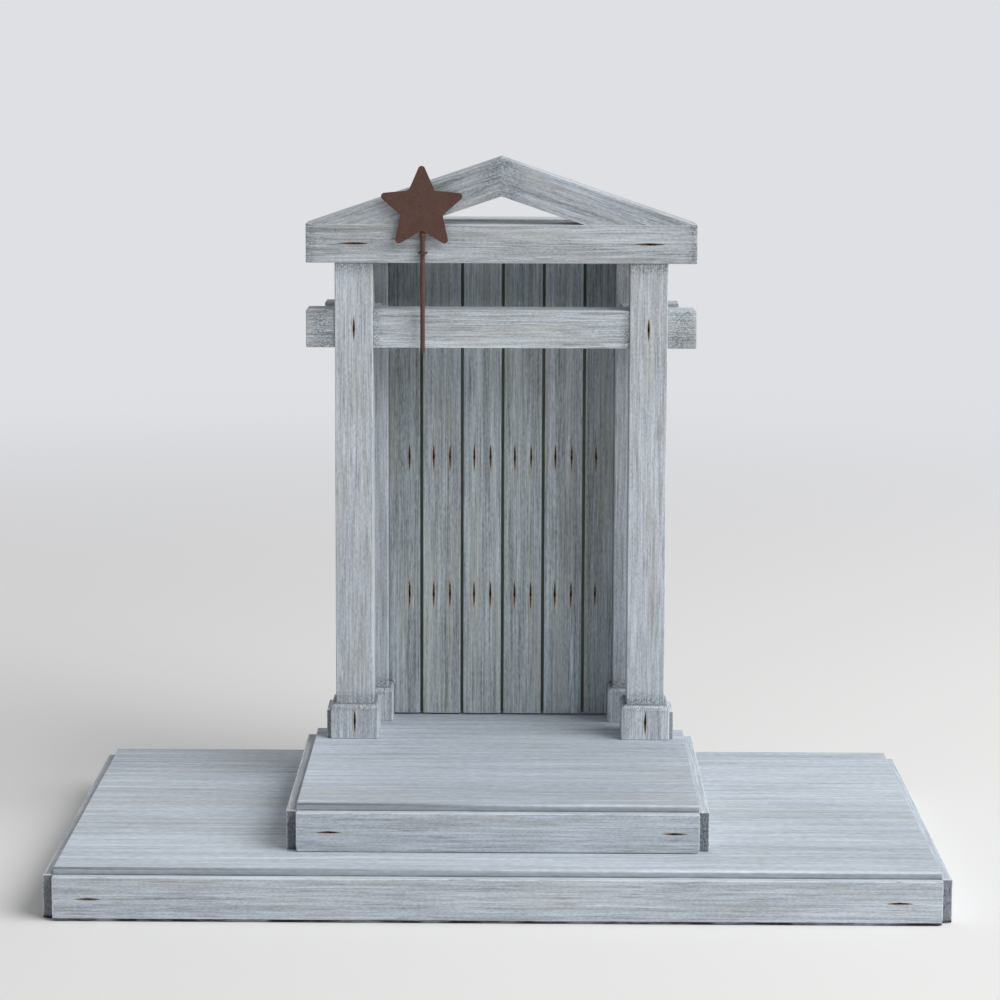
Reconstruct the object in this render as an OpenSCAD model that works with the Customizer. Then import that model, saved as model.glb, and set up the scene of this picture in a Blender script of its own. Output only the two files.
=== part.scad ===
// Nativity stable: a two-step platform that carries a small open porch with four posts,
// a plank back wall, a gable and a metal star on a rod. Millimetres, front toward -Y.

/* [Platform] */
// Width of the lower deck without its edge boards
lower_w = 599; // [480:1:720]
// Depth of the lower deck without its edge boards
lower_d = 304; // [290:1:360]
// Height of the lower step
lower_h = 35.5; // [24:0.5:50]
// Width of upper deck left beside each front foot
upper_side = 9; // [2:0.2:40]
// Open depth of the upper deck in front of the front feet
porch_d = 171; // [100:1:175]
// Height of the upper step
upper_h = 32.7; // [24:0.1:50]
// Width of the narrow rear deck left beside each rear foot
tongue_side = 3; // [0:0.2:6]
// Thickness of both deck panels
deck_t = 12; // [8:0.5:16]
// Thickness of the front and back boards of both steps and of the rails behind the wall
board_t = 6; // [4:0.5:8]
// Thickness of the side boards of both steps
side_board_t = 7; // [4:0.5:9]
// How far the edge boards stay below the deck top
board_drop = 5; // [2:0.5:7]
// Round on the long top edges of both decks
deck_round = 1.5; // [0.5:0.1:3]
// Width of the bearers under the lower deck
lower_bearer_w = 28; // [24:1:40]
// How far a lower bearer stays in from the deck end
lower_bearer_in = 10; // [0:1:30]
// Distance from the left lower bearer's outer side to the nail in it
lower_nail_left = 14; // [2:0.5:22]
// Distance from the right lower bearer's outer side to the nail in it
lower_nail_right = 19; // [2:0.5:22]
// Width of the bearers under the upper deck
upper_bearer_w = 20; // [16:1:22]
// Distance from the left upper bearer's outer side to the nail in it
upper_nail_left = 7.5; // [2:0.5:14]
// Distance from the right upper bearer's outer side to the nail in it
upper_nail_right = 2.5; // [2:0.5:14]

/* [Frame] */
// Side of the square post stock
post = 28; // [20:1:34]
// Clear width between the front posts
front_span = 189.4; // [170:0.2:192]
// How far each rear post stands inside its front post
rear_inset = 8.5; // [0:0.5:11]
// Clear depth between the front and rear posts
frame_gap = 24; // [20:1:32]
// Height from the upper deck to the post shoulder under the gable
post_top = 357.5; // [300:0.5:420]
// Height of the foot block under each post
foot_h = 26.6; // [22:0.2:40]
// How far a foot block stands out round its post
foot_reveal = 3.8; // [1:0.1:6]
// Thickness of the cheek on the outer side of each foot
cheek_t = 3; // [2:0.5:4]
// How far a cheek ends below the round on its foot block
cheek_drop = 1.2; // [0.2:0.1:6]
// How far a cheek stays back from the front of its foot block
cheek_back = 2.2; // [1:0.1:4]
// Side of the square tenon under each post
tenon_w = 14; // [8:1:16]
// Thickness of foot block left under the tenon socket
tenon_floor = 8.4; // [4:0.2:10]
// Play round tenons and in the bottom of their sockets
tenon_play = 0.2; // [0.1:0.05:0.5]

/* [Cross beams] */
// Height of the cross beams
beam_h = 28; // [16:1:40]
// Gap between the front beam and the chord above it
upper_gap = 35; // [15:0.5:60]
// How far the front beam stays behind the post faces
beam_setback = 1.5; // [0.5:0.5:4]
// How far the front beam sticks out past each post
front_stub = 21.3; // [8:0.1:35]
// How far each rear stub sticks out past its post
rear_stub = 19.6; // [8:0.2:30]
// Depth of a rear stub
stub_d = 20; // [14:1:26]
// Length of the tenon on a rear stub
stub_tenon = 12; // [6:1:13]

/* [Gable] */
// How far the chord sticks out past each front post
chord_end = 21; // [5:0.2:40]
// Height of the chord and of the rear lintel
chord_h = 28.5; // [20:0.5:36]
// How far the chord stands out in front of the posts
chord_out = 1.5; // [0:0.5:4]
// Rise of the gable above the chord
gable_rise = 49.2; // [42:0.2:70]
// Width of a rafter across its grain
rafter_w = 27; // [18:1:32]
// How far the rear lintel sticks out past each rear post
lintel_end = 19.5; // [5:0.5:40]

/* [Back wall] */
// Distance from one plank gap to the next
plank_pitch = 31.1; // [30.6:0.1:32]
// How far the plank gaps lie right of the stable's middle
gap_shift = 1; // [-3:0.1:3]
// Gap between two planks
plank_gap = 2.3; // [1:0.1:4]
// Thickness of a plank
plank_t = 5; // [3:0.5:6]
// Thickness of the dark panel behind the planks
panel_t = 5; // [3:0.5:6]
// Gap between the wall and the deck
wall_lift = 1.2; // [0.5:0.1:3]
// Play between the wall and what stands beside it
wall_play = 0.2; // [0.1:0.05:0.5]
// Height of the rails behind the wall
rail_h = 28; // [16:1:40]
// Height from the upper deck to the middle of the lowest rail
rail_first = 95; // [60:1:120]

/* [Nails] */
// Length of the worn slit round a nail in a board, a foot or a post
slit_len = 18.5; // [10:0.5:20]
// Length of the worn slit round a nail in the chord
chord_slit_len = 24; // [10:0.5:30]
// Length of the worn slit round a nail in a plank
wall_slit_len = 23; // [10:0.5:30]
// Width of a slit at its middle
slit_w = 1.9; // [1:0.1:4]
// Depth of a slit
slit_depth = 1.2; // [0.5:0.1:2]
// Diameter of a nail
nail_d = 1.6; // [1:0.1:2]
// How far a nail lies below the bottom of its slit
nail_sink = 0.8; // [0.2:0.1:1]
// How far a nail bites into the second piece
nail_bite = 5; // [2:0.5:5.5]
// Play round a nail in its hole
nail_play = 0.1; // [0.05:0.05:0.3]
// Distance from the middle of a plank gap to the nails beside it
nail_in = 9.3; // [7:0.1:12]

/* [Star] */
// Distance from the star middle to a sharp tip
star_r = 35; // [25:0.5:48]
// Distance from the star middle to a notch
star_notch_r = 16.2; // [10:0.2:20]
// Round on each star tip
tip_r = 2.6; // [0.5:0.1:3]
// Thickness of the star plate
star_t = 1.2; // [0.8:0.1:2]
// Distance from the stable's middle to the star, to the left
star_left = 58.4; // [40:0.1:70]
// Height from the underside of the chord to the star middle
star_up = 40.5; // [38:0.5:70]
// Diameter of the rod
rod_d = 3.4; // [2:0.1:5]
// Distance from the star's middle line to the rod
rod_shift = 0.6; // [0:0.1:3]
// How far the rod ends below the front beam
rod_below = 2.9; // [0:0.1:40]
// Play between the rod and what it slides along
rod_play = 0.3; // [0.2:0.05:0.6]
// How far the star plate is let into the rod
rod_flat = 0.6; // [0.3:0.1:1]
// How far the weld bead under the star stands out round the rod
bead_out = 0.6; // [0.3:0.1:1.2]
// Height of the weld bead
bead_h = 3.2; // [1:0.1:5]
// Thickness of the staple wire
staple_t = 1.1; // [0.8:0.1:1.8]
// How deep the staple legs go into the chord
staple_leg = 9; // [5:0.5:14]
// Height of the staple above the underside of the chord
staple_up = 7; // [4:0.5:12]

/* [Hidden] */
$fn = 48;

// Overrun of every cut past the surface that it opens
over = 1;

// Colours
paint = "#9aa4ad";
paint_dark = "#7f8993";
raw_dark = "#3b3c34";
nail_black = "#2b211c";
rust = "#5c4238";

// Heights
lower_top = lower_h;
upper_top = lower_h + upper_h;
lower_board_h = lower_h - board_drop;
upper_board_h = upper_h - board_drop;
beam_top = post_top - upper_gap;
shoulder_z = upper_top + post_top;
chord_top = shoulder_z + chord_h;
beam_z = upper_top + beam_top - beam_h;

// Depth places, worked forward from the back of the platform
lower_front = -lower_d / 2;
lower_back = lower_d / 2;
frame_back = lower_back - board_t;
rear_post_y = frame_back - post;
front_post_y = rear_post_y - frame_gap - post;
front_foot_y = front_post_y - foot_reveal;
rear_foot_y = rear_post_y - foot_reveal;
upper_front = front_foot_y - porch_d;
upper_back = front_post_y + post;
panel_y = frame_back - panel_t;
plank_y = panel_y - plank_t;
chord_y = front_post_y - chord_out;
beam_y = front_post_y + beam_setback;
lap = post / 2;

// Sideways places of the post middles
front_x = front_span / 2 + post / 2;
rear_x = front_x - rear_inset;
rear_clear = rear_x - post / 2;
side_rail_x = (front_x + rear_x) / 2;

// Feet
foot_w = post + 2 * foot_reveal;
tenon_h = foot_h - tenon_floor - tenon_play;
foot_front_d = post + 2 * foot_reveal;
foot_rear_d = post + foot_reveal;
cheek_h = foot_h - foot_reveal - cheek_drop;
front_cheek_d = foot_front_d - 2 * cheek_back;
rear_cheek_d = foot_rear_d - 2 * cheek_back;

// Upper deck widths that follow the feet
upper_w = 2 * (front_x + foot_w / 2 + cheek_t + upper_side);
tongue_w = 2 * (rear_x + foot_w / 2 + cheek_t + tongue_side);

// Bearers and the nails that hold the front boards to them
lower_bearer_x = (lower_w - lower_bearer_w) / 2 - lower_bearer_in;
lower_nail_xs = [
    lower_nail_left + lower_bearer_in - lower_w / 2,
    lower_w / 2 - lower_bearer_in - lower_nail_right
];
upper_bearer_x = (tongue_w - upper_bearer_w) / 2;
upper_nail_xs = [upper_nail_left - tongue_w / 2, tongue_w / 2 - upper_nail_right];

// Back wall
plank_count = 6;
plank_w = plank_pitch - plank_gap;
wall_half = rear_clear - wall_play;
wall_z = upper_top + wall_lift;
wall_h = shoulder_z - wall_z;
rail_count = 3;
rail_pitch = (beam_top - beam_h / 2 - rail_first) / (rail_count - 1);
rail_zs = [for (i = [0:rail_count - 1]) upper_top + rail_first + i * rail_pitch];
rail_half = rear_x + post / 2;
rail_nail_dz = rail_h / 4;
gap_xs = [for (i = [1:plank_count - 1]) (i - plank_count / 2) * plank_pitch + gap_shift];

// Every nail place in the wall, and in its rails over the rear posts, as [x, z]
plank_nail_places = [
    for (z = rail_zs) for (x = gap_xs) for (s = [-1, 1]) [x + s * nail_in, z]
];
rail_nail_places = [
    for (z = rail_zs) for (sx = [-1, 1]) for (sz = [-1, 1])
        [sx * rear_x, z + sz * rail_nail_dz]
];

// Nails: how deep each kind reaches from the face that it enters
hole_d = nail_d + 2 * nail_play;
plank_reach = plank_t + panel_t + nail_bite;
step_reach = board_t + nail_bite;
foot_reach = foot_reveal + (post - tenon_w) / 2 + nail_bite;
beam_reach = lap + nail_bite;
chord_reach = lap + chord_out + nail_bite;
rail_reach = board_t + nail_bite;
lower_nail_z = lower_board_h / 2;
upper_nail_z = lower_top + upper_board_h / 2;
foot_nail_z = upper_top + foot_h / 2;
beam_nail_z = beam_z + beam_h / 2;
chord_nail_z = shoulder_z + chord_h / 2;

// Rear stubs and their tenons
stub_y = rear_post_y + (post - stub_d) / 2;
stub_tenon_d = stub_d / 2;
stub_tenon_h = beam_h / 2;

// Gable
chord_w = 2 * (front_x + post / 2 + chord_end);
lintel_w = 2 * (rear_x + post / 2 + lintel_end);
gable_pitch = atan(gable_rise / (chord_w / 2));
rafter_v = rafter_w / cos(gable_pitch);
rafter_foot = chord_w / 2 * (1 - rafter_v / gable_rise);

// Star and rod
star_x = -star_left;
star_z = shoulder_z + star_up;
rod_x = star_x + rod_shift;
bead_d = rod_d + 2 * bead_out;
rod_y = chord_y - rod_play - bead_d / 2;
rod_z = beam_z - rod_below;
rod_l = star_z - rod_z;
star_back = rod_y - rod_d / 2 + rod_flat;
notch_z = star_z - star_notch_r;
tip_half = atan(star_notch_r * sin(36) / (star_r - star_notch_r * cos(36)));
tip_steps = 8;
tip_arc = [
    for (i = [0:tip_steps]) let (a = (90 - tip_half) * (1 - 2 * i / tip_steps))
        [star_r - tip_r / sin(tip_half) + tip_r * cos(a), tip_r * sin(a)]
];
notch_slope = (star_r * cos(36) - star_notch_r) / (star_r * sin(36));
bead_top = notch_z - (rod_shift + bead_d / 2) * notch_slope;
staple_z = shoulder_z + staple_up;
staple_x = rod_d / 2 + rod_play;
staple_front = rod_y - rod_d / 2 - rod_play - staple_t;
staple_leg_d = chord_y + staple_leg - staple_front;

// A box with its middle at x, its front at y and its underside at z
module bar(x, y, z, w, d, h) {
    translate([x - w / 2, y, z]) cube([w, d, h]);
}

// A lens outline of length l, long along X
module lens(l) {
    r = (pow(l / 2, 2) + pow(slit_w / 2, 2)) / slit_w;
    intersection() {
        translate([0, r - slit_w / 2]) circle(r = r, $fn = 96);
        translate([0, slit_w / 2 - r]) circle(r = r, $fn = 96);
    }
}

// The slit of length l and the nail hole, cut backward from a front face at y
module slit_and_hole(x, y, z, reach, l, upright = true) {
    translate([x, y, z]) rotate([90, 0, 0]) {
        translate([0, 0, -slit_depth]) linear_extrude(slit_depth + over)
            rotate(upright ? 90 : 0) lens(l);
        translate([0, 0, -reach]) cylinder(h = reach, d = hole_d, $fn = 24);
    }
}

// A nail hole alone, for the pieces behind the one with the slit
module hole(x, y, z, reach) {
    translate([x, y, z]) rotate([90, 0, 0])
        translate([0, 0, -reach]) cylinder(h = reach + over, d = hole_d, $fn = 24);
}

// A nail that lies in its hole, its point on the bottom
module nail(x, y, z, reach) {
    translate([x, y, z]) rotate([90, 0, 0])
        translate([0, 0, -reach])
            cylinder(h = reach - slit_depth - nail_sink, d = nail_d, $fn = 24);
}

// Deck outline with rounded long top edges, seen from the side: y along, z up
module deck_profile(d) {
    translate([0, -deck_t]) square([d, deck_t - deck_round]);
    translate([deck_round, -deck_t]) square([d - 2 * deck_round, deck_t]);
    for (y = [deck_round, d - deck_round])
        translate([y, -deck_round]) circle(r = deck_round);
}

// A deck panel: middle at x = 0, front at y, top at z
module deck_panel(y, z, w, d) {
    translate([-w / 2, y, z]) rotate([90, 0, 90]) linear_extrude(w) deck_profile(d);
}

// Lower step

module lower_deck() {
    color(paint) deck_panel(lower_front, lower_top, lower_w, lower_d);
}

module lower_front_board() {
    color(paint) difference() {
        bar(0, lower_front - board_t, 0, lower_w, board_t, lower_board_h);
        for (x = lower_nail_xs)
            slit_and_hole(x, lower_front - board_t, lower_nail_z, step_reach, slit_len, false);
    }
}

module lower_back_board() {
    color(paint) bar(0, lower_back, 0, lower_w, board_t, lower_board_h);
}

module lower_side_board(s) {
    color(paint) bar(s * (lower_w + side_board_t) / 2, lower_front, 0,
        side_board_t, lower_d, lower_board_h);
}

module lower_left_board() { lower_side_board(-1); }
module lower_right_board() { lower_side_board(1); }

module lower_bearers() {
    color(raw_dark) difference() {
        for (s = [-1, 1])
            bar(s * lower_bearer_x, lower_front, 0, lower_bearer_w, lower_d, lower_h - deck_t);
        for (x = lower_nail_xs) hole(x, lower_front - board_t, lower_nail_z, step_reach);
    }
}

// Upper step

module upper_deck() {
    color(paint) {
        deck_panel(upper_front, upper_top, upper_w, upper_back - upper_front);
        bar(0, upper_back - deck_round, upper_top - deck_t, tongue_w,
            frame_back - upper_back + deck_round, deck_t);
    }
}

module upper_front_board() {
    color(paint) difference() {
        bar(0, upper_front - board_t, lower_top, upper_w, board_t, upper_board_h);
        for (x = upper_nail_xs)
            slit_and_hole(x, upper_front - board_t, upper_nail_z, step_reach, slit_len, false);
    }
}

module upper_side_board(s) {
    color(paint) bar(s * (upper_w + side_board_t) / 2, upper_front, lower_top,
        side_board_t, upper_back - upper_front, upper_board_h);
}

module upper_left_board() { upper_side_board(-1); }
module upper_right_board() { upper_side_board(1); }

module upper_shoulder_strips() {
    strip_w = (upper_w - tongue_w) / 2;
    color(paint) for (s = [-1, 1])
        bar(s * (tongue_w + strip_w) / 2, upper_back, lower_top, strip_w, board_t, upper_board_h);
}

module rear_side_board(s) {
    color(paint) bar(s * (tongue_w + side_board_t) / 2, upper_back + board_t, lower_top,
        side_board_t, frame_back - upper_back - board_t, upper_board_h);
}

module rear_left_board() { rear_side_board(-1); }
module rear_right_board() { rear_side_board(1); }

module rear_back_board() {
    color(paint) bar(0, frame_back, lower_top, tongue_w, board_t, upper_board_h);
}

module upper_bearers() {
    color(raw_dark) difference() {
        for (s = [-1, 1])
            bar(s * upper_bearer_x, upper_front, lower_top,
                upper_bearer_w, frame_back - upper_front, upper_h - deck_t);
        for (x = upper_nail_xs) hole(x, upper_front - board_t, upper_nail_z, step_reach);
    }
}

// Feet

// Block outline with both top corners rounded down from the post, and some room round it
module foot_profile(room = 0) {
    translate([-foot_w / 2 - room, 0]) square([foot_w + 2 * room, foot_h - foot_reveal]);
    translate([-post / 2, 0]) square([post, foot_h + room]);
    for (s = [-1, 1])
        translate([s * post / 2, foot_h - foot_reveal]) circle(r = foot_reveal + room);
}

// A foot block round a post with its middle at x and its front at y
module foot(x, y, d) {
    color(paint) difference() {
        intersection() {
            translate([x, y - foot_reveal, upper_top]) rotate([90, 0, 0])
                translate([0, 0, -d]) linear_extrude(d) foot_profile();
            translate([x - foot_w / 2, y + post / 2, upper_top]) rotate([90, 0, 90])
                linear_extrude(foot_w) foot_profile();
        }
        bar(x, y + (post - tenon_w) / 2 - tenon_play, upper_top + foot_h - tenon_h - tenon_play,
            tenon_w + 2 * tenon_play, tenon_w + 2 * tenon_play, tenon_h + tenon_play + over);
        slit_and_hole(x, y - foot_reveal, foot_nail_z, foot_reach, slit_len);
    }
}

module front_left_foot() { foot(-front_x, front_post_y, foot_front_d); }
module front_right_foot() { foot(front_x, front_post_y, foot_front_d); }
module rear_left_foot() { foot(-rear_x, rear_post_y, foot_rear_d); }
module rear_right_foot() { foot(rear_x, rear_post_y, foot_rear_d); }

// A thin cheek on the outer side of the foot whose middle is at s * x
module cheek(s, x, foot_y, d) {
    color(paint_dark) bar(s * (x + (foot_w + cheek_t) / 2), foot_y + cheek_back, upper_top,
        cheek_t, d, cheek_h);
}

module front_left_cheek() { cheek(-1, front_x, front_foot_y, front_cheek_d); }
module front_right_cheek() { cheek(1, front_x, front_foot_y, front_cheek_d); }
module rear_left_cheek() { cheek(-1, rear_x, rear_foot_y, rear_cheek_d); }
module rear_right_cheek() { cheek(1, rear_x, rear_foot_y, rear_cheek_d); }

// Posts

// A post with a tenon in its foot and a lap that rises behind the chord or the lintel
module post_body(x, y) {
    foot_top = upper_top + foot_h;
    bar(x, y, foot_top, post, post, post_top - foot_h);
    bar(x, y + (post - tenon_w) / 2, foot_top - tenon_h, tenon_w, tenon_w, shoulder_z - foot_top);
    bar(x, y + lap, foot_top, post, post - lap, chord_top - foot_top);
}

module front_post(s) {
    color(paint) difference() {
        post_body(s * front_x, front_post_y);
        bar(s * front_x, front_post_y + lap, beam_z, post + 2 * over, post, beam_h);
        slit_and_hole(s * front_x, front_post_y, beam_nail_z, lap + over, slit_len);
        hole(s * front_x, chord_y, chord_nail_z, chord_reach);
        hole(s * front_x, front_foot_y, foot_nail_z, foot_reach);
    }
}

module front_left_post() { front_post(-1); }
module front_right_post() { front_post(1); }

module rear_post(s) {
    color(paint) difference() {
        post_body(s * rear_x, rear_post_y);
        bar(s * (rear_x + post / 2 - stub_tenon / 2 - tenon_play / 2 + over / 2),
            stub_y + (stub_d - stub_tenon_d) / 2 - tenon_play,
            beam_z + (beam_h - stub_tenon_h) / 2 - tenon_play,
            stub_tenon + tenon_play + over, stub_tenon_d + 2 * tenon_play,
            stub_tenon_h + 2 * tenon_play);
        hole(s * rear_x, rear_foot_y, foot_nail_z, foot_reach);
        rail_holes();
    }
}

module rear_left_post() { rear_post(-1); }
module rear_right_post() { rear_post(1); }

// Cross beams

module front_beam() {
    color(paint) difference() {
        bar(0, beam_y, beam_z, 2 * front_x + post + 2 * front_stub, post - beam_setback, beam_h);
        for (s = [-1, 1]) {
            bar(s * front_x, front_post_y - over, beam_z - over, post, lap + over, beam_h + 2 * over);
            hole(s * front_x, front_post_y, beam_nail_z, beam_reach);
        }
    }
}

module rear_beam_stub(s) {
    outer = rear_x + post / 2;
    color(paint) {
        bar(s * (outer + rear_stub / 2), stub_y, beam_z, rear_stub, stub_d, beam_h);
        bar(s * (outer + (rear_stub - stub_tenon) / 2), stub_y + (stub_d - stub_tenon_d) / 2,
            beam_z + (beam_h - stub_tenon_h) / 2, rear_stub + stub_tenon, stub_tenon_d, stub_tenon_h);
    }
}

module rear_left_stub() { rear_beam_stub(-1); }
module rear_right_stub() { rear_beam_stub(1); }

module side_rail(s) {
    color(paint) bar(s * side_rail_x, front_post_y + post, beam_z, post, frame_gap, beam_h);
}

module left_side_rail() { side_rail(-1); }
module right_side_rail() { side_rail(1); }

// Gable

module pediment_chord() {
    color(paint) difference() {
        bar(0, chord_y, shoulder_z, chord_w, post, chord_h);
        for (s = [-1, 1]) {
            bar(s * front_x, front_post_y + lap, shoulder_z - over, post, post, chord_h + 2 * over);
            slit_and_hole(s * front_x, chord_y, chord_nail_z, chord_reach, chord_slit_len, false);
        }
        staple_legs();
    }
}

// One rafter, mitred at the ridge and cut level on the chord
module rafter(s) {
    color(paint) translate([0, chord_y + post, chord_top]) rotate([90, 0, 0])
        linear_extrude(post) polygon([
            [s * chord_w / 2, 0],
            [0, gable_rise],
            [0, gable_rise - rafter_v],
            [s * rafter_foot, 0]
        ]);
}

module left_rafter() { rafter(-1); }
module right_rafter() { rafter(1); }

module rear_lintel() {
    color(paint) difference() {
        bar(0, rear_post_y, shoulder_z, lintel_w, post, chord_h);
        for (s = [-1, 1])
            bar(s * rear_x, rear_post_y + lap, shoulder_z - over, post, post, chord_h + 2 * over);
    }
}

// Back wall

// The room that the rear feet take out of the wall's lower corners
module foot_room() {
    for (s = [-1, 1])
        translate([s * rear_x, rear_foot_y, upper_top]) rotate([90, 0, 0])
            translate([0, 0, -foot_rear_d - over])
                linear_extrude(foot_rear_d + over) foot_profile(wall_play);
}

module back_panel() {
    color(raw_dark) difference() {
        bar(0, panel_y, wall_z, 2 * wall_half, panel_t, wall_h);
        foot_room();
        for (p = plank_nail_places) hole(p.x, plank_y, p.y, plank_reach);
    }
}

// Plank number i, counted from the left
module plank(i) {
    left = i == 1 ? -wall_half : gap_xs[i - 2] + plank_gap / 2;
    right = i == plank_count ? wall_half : gap_xs[i - 1] - plank_gap / 2;
    color(paint) difference() {
        bar((left + right) / 2, plank_y, wall_z, right - left, plank_t, wall_h);
        foot_room();
        for (p = plank_nail_places)
            if (p.x > left && p.x < right)
                slit_and_hole(p.x, plank_y, p.y, plank_reach, wall_slit_len);
    }
}

module plank_1() { plank(1); }
module plank_2() { plank(2); }
module plank_3() { plank(3); }
module plank_4() { plank(4); }
module plank_5() { plank(5); }
module plank_6() { plank(6); }

// Holes that enter from behind, through a rail and into a rear post
module rail_holes() {
    for (p = rail_nail_places)
        translate([p.x, lower_back + over, p.y]) rotate([90, 0, 0])
            cylinder(h = rail_reach + over, d = hole_d, $fn = 24);
}

module wall_rail(i) {
    color(raw_dark) difference() {
        bar(0, frame_back, rail_zs[i] - rail_h / 2, 2 * rail_half, board_t, rail_h);
        for (p = plank_nail_places) hole(p.x, plank_y, p.y, plank_reach);
        rail_holes();
    }
}

module lower_wall_rail() { wall_rail(0); }
module middle_wall_rail() { wall_rail(1); }
module upper_wall_rail() { wall_rail(2); }

// Nails

module step_nails() {
    color(nail_black) {
        for (x = lower_nail_xs) nail(x, lower_front - board_t, lower_nail_z, step_reach);
        for (x = upper_nail_xs) nail(x, upper_front - board_t, upper_nail_z, step_reach);
    }
}

module foot_nails() {
    color(nail_black) for (s = [-1, 1]) {
        nail(s * front_x, front_foot_y, foot_nail_z, foot_reach);
        nail(s * rear_x, rear_foot_y, foot_nail_z, foot_reach);
    }
}

module beam_nails() {
    color(nail_black) for (s = [-1, 1]) nail(s * front_x, front_post_y, beam_nail_z, beam_reach);
}

module chord_nails() {
    color(nail_black) for (s = [-1, 1]) nail(s * front_x, chord_y, chord_nail_z, chord_reach);
}

module plank_nails() {
    color(nail_black) for (p = plank_nail_places) nail(p.x, plank_y, p.y, plank_reach);
}

module rail_nails() {
    color(nail_black) for (p = rail_nail_places)
        translate([p.x, lower_back, p.y]) rotate([90, 0, 0])
            cylinder(h = rail_reach, d = nail_d, $fn = 24);
}

// Star

// Star outline with rounded tips: each tip is an arc, and a notch follows it
module star_outline() {
    polygon([
        for (i = [0:4]) let (a = 90 - 72 * i)
            for (p = concat(tip_arc, [[star_notch_r * cos(36), -star_notch_r * sin(36)]]))
                [p.x * cos(a) - p.y * sin(a), p.x * sin(a) + p.y * cos(a)]
    ]);
}

module star() {
    color(rust) translate([star_x, star_back, star_z]) rotate([90, 0, 0])
        linear_extrude(star_t) star_outline();
}

// The rod is cut flat where the star plate is welded on, and has a weld bead below the notch
module star_rod() {
    color(rust) difference() {
        union() {
            translate([rod_x, rod_y, rod_z]) cylinder(h = rod_l, d = rod_d);
            translate([rod_x, rod_y, bead_top - bead_h]) cylinder(h = bead_h, d = bead_d);
        }
        bar(star_x, star_back - rod_d, bead_top, star_r, rod_d, star_r);
    }
}

// Both legs of the staple, from its front to its points in the chord
module staple_legs() {
    for (s = [-1, 1])
        bar(rod_x + s * (staple_x + staple_t / 2), staple_front, staple_z,
            staple_t, staple_leg_d, staple_t);
}

module rod_staple() {
    color(rust) {
        staple_legs();
        bar(rod_x, staple_front, staple_z, 2 * (staple_x + staple_t), staple_t, staple_t);
    }
}

lower_deck();
lower_front_board();
lower_back_board();
lower_left_board();
lower_right_board();
lower_bearers();
upper_deck();
upper_front_board();
upper_left_board();
upper_right_board();
upper_shoulder_strips();
rear_left_board();
rear_right_board();
rear_back_board();
upper_bearers();
front_left_foot();
front_right_foot();
rear_left_foot();
rear_right_foot();
front_left_cheek();
front_right_cheek();
rear_left_cheek();
rear_right_cheek();
front_left_post();
front_right_post();
rear_left_post();
rear_right_post();
front_beam();
rear_left_stub();
rear_right_stub();
left_side_rail();
right_side_rail();
pediment_chord();
left_rafter();
right_rafter();
rear_lintel();
back_panel();
plank_1();
plank_2();
plank_3();
plank_4();
plank_5();
plank_6();
lower_wall_rail();
middle_wall_rail();
upper_wall_rail();
step_nails();
foot_nails();
beam_nails();
chord_nails();
plank_nails();
rail_nails();
star();
star_rod();
rod_staple();
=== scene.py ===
"""Looks of the wooden nativity stable: brushed blue-grey paint, painted shade and highlights, worn
arrises, rusted star, studio.
"""
import math

import bpy
from mathutils import Matrix, Vector

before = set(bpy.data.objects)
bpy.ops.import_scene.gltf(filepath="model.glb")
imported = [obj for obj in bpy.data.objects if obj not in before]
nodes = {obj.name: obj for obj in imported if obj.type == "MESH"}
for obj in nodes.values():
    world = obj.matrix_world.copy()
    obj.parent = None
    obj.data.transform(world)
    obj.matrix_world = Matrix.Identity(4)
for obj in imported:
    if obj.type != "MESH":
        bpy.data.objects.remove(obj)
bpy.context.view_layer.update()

MM = 0.001


def mm(*values):
    return tuple(v * MM for v in values)


# ---------------------------------------------------------------- camera

CAMERA_AT = (0.01475, -1.95645, 0.60802)
CAMERA_PITCH, CAMERA_YAW, CAMERA_ROLL = 0.1213, 0.0077, 0.00326
CAMERA_LENS, CAMERA_SENSOR, CAMERA_SHIFT = 99.489, 36.0, -0.15


def make_camera():
    data = bpy.data.cameras.new("camera")
    data.lens, data.sensor_width, data.shift_y = CAMERA_LENS, CAMERA_SENSOR, CAMERA_SHIFT
    camera = bpy.data.objects.new("camera", data)
    turn = (
        Matrix.Rotation(CAMERA_YAW, 4, "Z")
        @ Matrix.Rotation(math.pi / 2 - CAMERA_PITCH, 4, "X")
        @ Matrix.Rotation(CAMERA_ROLL, 4, "Z")
    )
    camera.matrix_world = Matrix.Translation(CAMERA_AT) @ turn
    bpy.context.scene.collection.objects.link(camera)
    bpy.context.scene.camera = camera


# ---------------------------------------------------------------- words for building node trees


def linear(r, g, b):
    """A colour written as sRGB 0 to 255, as the linear colour that a node takes."""
    def one(c):
        c /= 255
        return c / 12.92 if c <= 0.04045 else ((c + 0.055) / 1.055) ** 2.4
    return (one(r), one(g), one(b), 1)


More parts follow.
